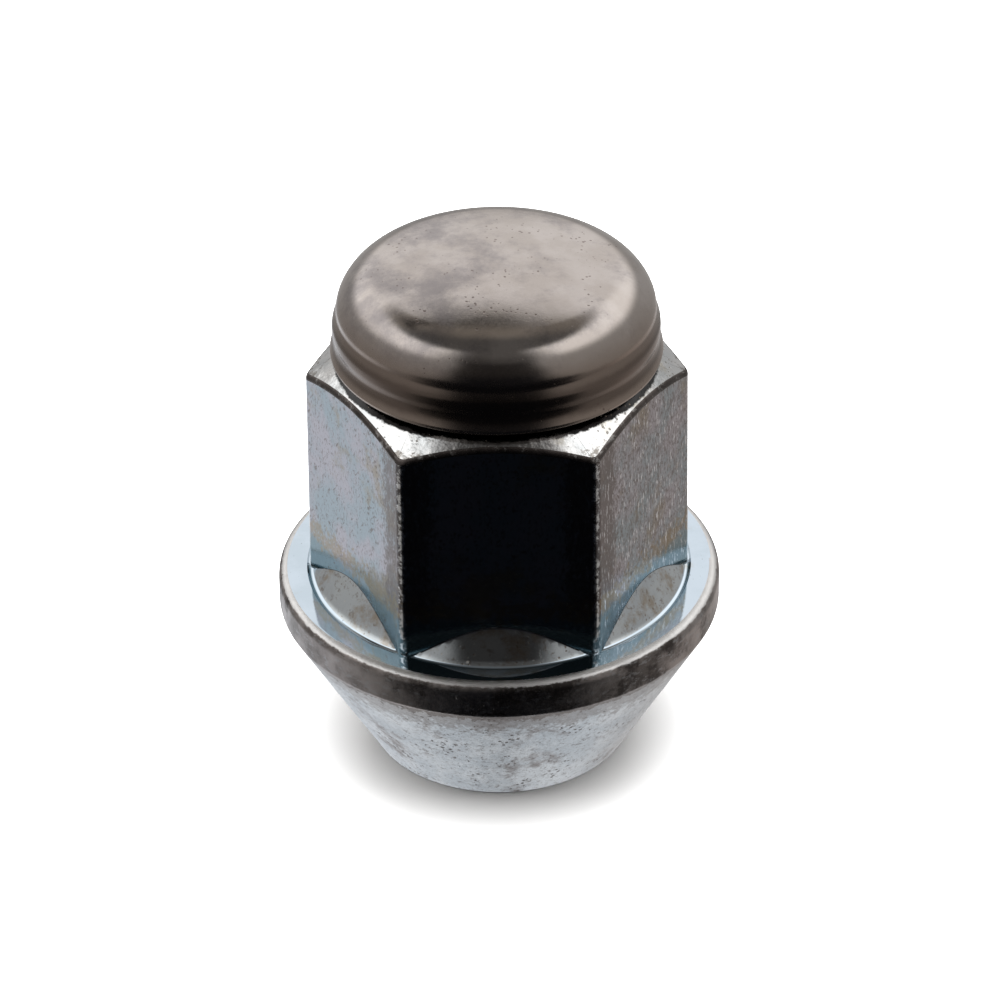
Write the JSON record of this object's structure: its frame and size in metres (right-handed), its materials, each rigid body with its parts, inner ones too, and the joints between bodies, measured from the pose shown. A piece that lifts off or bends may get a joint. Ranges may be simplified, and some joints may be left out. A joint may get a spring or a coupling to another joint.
{
  "type": "capped lug nut",
  "caption": "Hexagon wheel nut with a flange, a conical seat, a threaded bore and a pressed cap over its closed end.",
  "frame": {"origin": "centre of the small end face of the conical seat, which is the face the nut stands on", "axes": "+Z along the thread axis from the seat towards the cap; one flat of the hexagon faces -Y and two of its corners lie along X"},
  "size_m": [0.028, 0.028, 0.0343],
  "materials": {
    "zinc_plated_steel": "bright zinc plating with fine dark specks, brown stains and edges worn to bare steel",
    "stainless_steel": "satin pressed stainless steel with fine scratches and small pits"
  },
  "bodies": {
    "root": {"nut_body": "zinc_plated_steel", "cap": "stainless_steel"}
  },
  "joints": []
}
